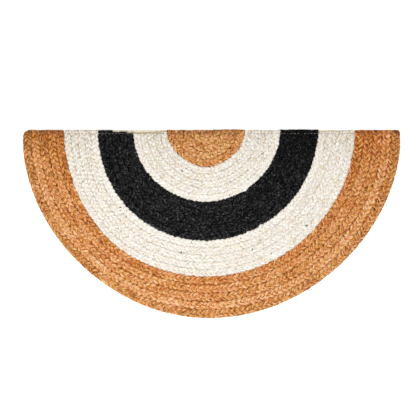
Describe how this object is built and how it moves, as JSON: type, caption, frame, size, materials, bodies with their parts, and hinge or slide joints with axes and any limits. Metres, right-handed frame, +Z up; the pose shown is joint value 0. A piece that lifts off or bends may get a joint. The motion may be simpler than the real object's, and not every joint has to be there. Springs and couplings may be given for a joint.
{
  "type": "braided jute doormat",
  "caption": "Half-round doormat of flat braided jute, sewn row to row in half rings of natural, off-white and black, with a cotton tape under its straight edge.",
  "frame": {"origin": "on the underside, below the middle of the mat's outline", "axes": "+Z up out of the mat's face, +X along the straight edge to the right, +Y from the round side to the straight edge"},
  "size_m": [0.8993, 0.4474, 0.009],
  "materials": {
    "jute_natural": "undyed jute fibre, dry and matt, golden brown with darker strands",
    "jute_cream": "bleached jute fibre, dry and matt, off-white with beige flecks",
    "jute_black": "black-dyed jute fibre, dry, with a faint sheen along the fibres",
    "cotton_tape": "unbleached cotton tape, plain woven, matt"
  },
  "bodies": {
    "root": {"braid_row_01": "jute_natural", "braid_row_02": "jute_natural", "braid_row_03": "jute_natural", "braid_row_04": "jute_natural", "braid_row_05": "jute_natural", "braid_row_06": "jute_cream", "braid_row_07": "jute_cream", "braid_row_08": "jute_cream", "braid_row_09": "jute_cream", "braid_row_10": "jute_cream", "braid_row_11": "jute_black", "braid_row_12": "jute_black", "braid_row_13": "jute_black", "braid_row_14": "jute_black", "braid_row_15": "jute_black", "braid_row_16": "jute_cream", "braid_row_17": "jute_cream", "braid_row_18": "jute_cream", "braid_row_19": "jute_cream", "braid_row_20": "jute_cream", "braid_row_21": "jute_natural", "braid_row_22": "jute_natural", "braid_row_23": "jute_natural", "braid_row_24": "jute_natural", "braid_row_25": "jute_natural", "edge_tape": "cotton_tape"}
  },
  "joints": []
}
